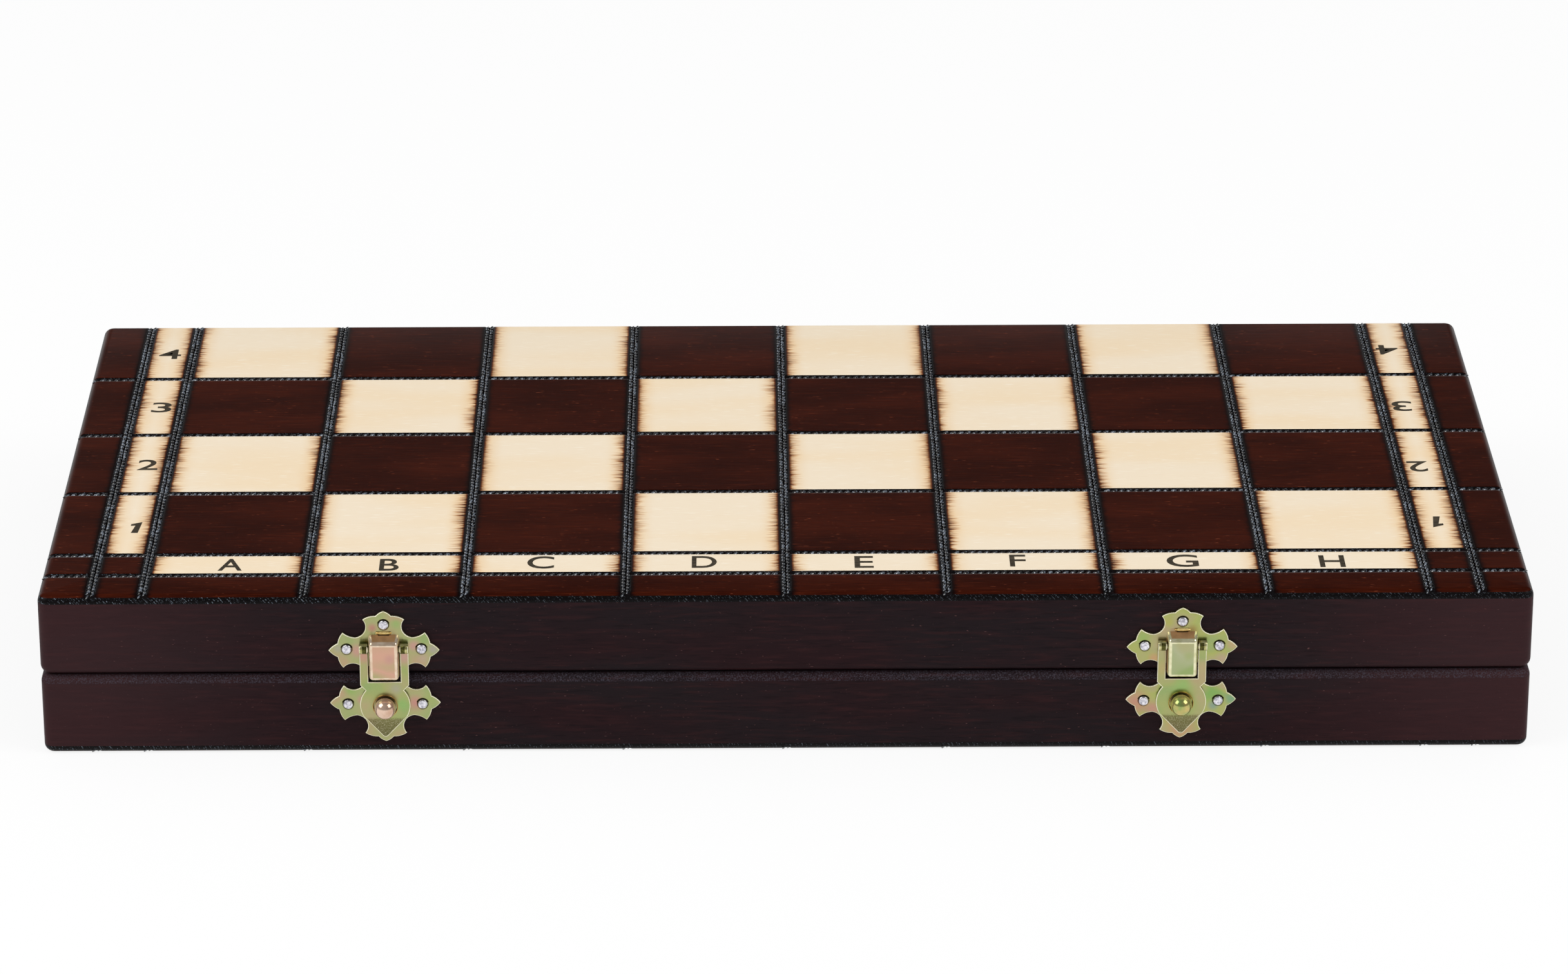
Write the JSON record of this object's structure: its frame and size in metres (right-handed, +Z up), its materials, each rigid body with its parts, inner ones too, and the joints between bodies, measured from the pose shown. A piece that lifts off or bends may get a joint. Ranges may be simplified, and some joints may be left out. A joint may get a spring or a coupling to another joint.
{
  "type": "folding chess box",
  "caption": "Wooden folding chess box: two hinged trays whose outer faces form the chess board, closed by spring hasps that snap over ball studs.",
  "frame": {"origin": "middle of the closed box's underside", "axes": "+X along the long side, from file A to file H; the clasps are on the -Y side and the hinges on the +Y side; +Z up"},
  "size_m": [0.35, 0.1824, 0.0405],
  "materials": {
    "frame_wood": "dark stained and varnished",
    "board_wood": "birch with burnt grooves, half of the squares stained, varnished",
    "felt": "green felt",
    "yellow_zinc": "yellow passivated zinc on sheet steel",
    "polished_zinc": "polished, yellow passivated",
    "spring_steel": "plain spring steel",
    "nail_steel": "bright zinc",
    "hinge_brass": "brass plated"
  },
  "bodies": {
    "base": {"base_play_panel": "board_wood", "base_front_rail": "frame_wood", "base_back_rail": "frame_wood", "base_left_rail": "frame_wood", "base_right_rail": "frame_wood", "base_felt_liner": "felt", "hinge_left_base_leaf": "hinge_brass", "hinge_left_base_screws": "hinge_brass", "hinge_left_pin": "hinge_brass", "clasp_left_strike_plate": "yellow_zinc", "clasp_left_ball_stud": "polished_zinc", "clasp_left_strike_nails": "nail_steel", "hinge_right_base_leaf": "hinge_brass", "hinge_right_base_screws": "hinge_brass", "hinge_right_pin": "hinge_brass", "clasp_right_strike_plate": "yellow_zinc", "clasp_right_ball_stud": "polished_zinc", "clasp_right_strike_nails": "nail_steel"},
    "lid": {"lid_play_panel": "board_wood", "lid_front_rail": "frame_wood", "lid_back_rail": "frame_wood", "lid_left_rail": "frame_wood", "lid_right_rail": "frame_wood", "lid_felt_liner": "felt", "hinge_left_lid_leaf": "hinge_brass", "hinge_left_lid_screws": "hinge_brass", "clasp_left_upper_plate": "yellow_zinc", "clasp_left_spring_cap": "yellow_zinc", "clasp_left_leaf_spring": "spring_steel", "clasp_left_upper_nails": "nail_steel", "hinge_right_lid_leaf": "hinge_brass", "hinge_right_lid_screws": "hinge_brass", "clasp_right_upper_plate": "yellow_zinc", "clasp_right_spring_cap": "yellow_zinc", "clasp_right_leaf_spring": "spring_steel", "clasp_right_upper_nails": "nail_steel"},
    "hasp_left": {"clasp_left_hasp": "yellow_zinc"},
    "hasp_right": {"clasp_right_hasp": "yellow_zinc"}
  },
  "joints": [
    {"name": "lid_hinge", "type": "hinge", "parent": "base", "child": "lid", "pos_m": [0, 0.08765, 0.02025], "axis": [-1, 0, 0], "range_deg": [0, 180]},
    {"name": "hasp_left_pivot", "type": "hinge", "parent": "lid", "child": "hasp_left", "pos_m": [-0.0942, -0.0897, 0.0278], "axis": [-1, 0, 0], "range_deg": [0, 120]},
    {"name": "hasp_right_pivot", "type": "hinge", "parent": "lid", "child": "hasp_right", "pos_m": [0.0927, -0.0897, 0.0278], "axis": [-1, 0, 0], "range_deg": [0, 120]}
  ]
}
